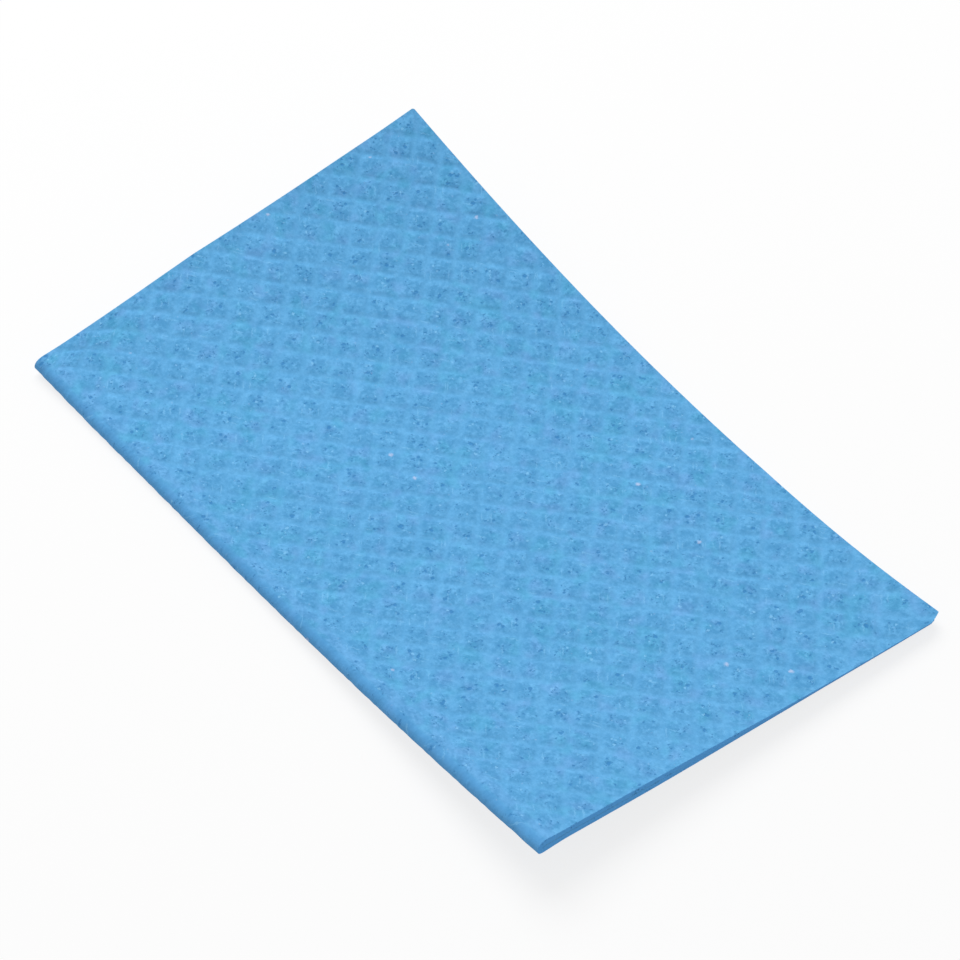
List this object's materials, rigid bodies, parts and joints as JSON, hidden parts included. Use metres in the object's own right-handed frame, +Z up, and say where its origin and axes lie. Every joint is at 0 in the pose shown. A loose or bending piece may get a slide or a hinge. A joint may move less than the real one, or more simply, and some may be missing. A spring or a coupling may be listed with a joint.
{
  "type": "sponge cloth",
  "caption": "Soft embossed cellulose wiping cloth, folded once in half and lying flat with opposite corners curled up; soaks up spills and wipes surfaces.",
  "frame": {"origin": "Middle of the folded cloth's footprint, at the level of the surface that it rests on", "axes": "+X along the fold, towards the end whose cut edge shows the fold; -Y is the folded edge and +Y the free edges; +Z up"},
  "size_m": [0.2606, 0.1584, 0.0308],
  "materials": {
    "sponge": "matt blue cellulose sponge, embossed with a lattice of shallow grooves between square pads"
  },
  "bodies": {
    "root": {"cloth": "sponge"}
  },
  "joints": []
}
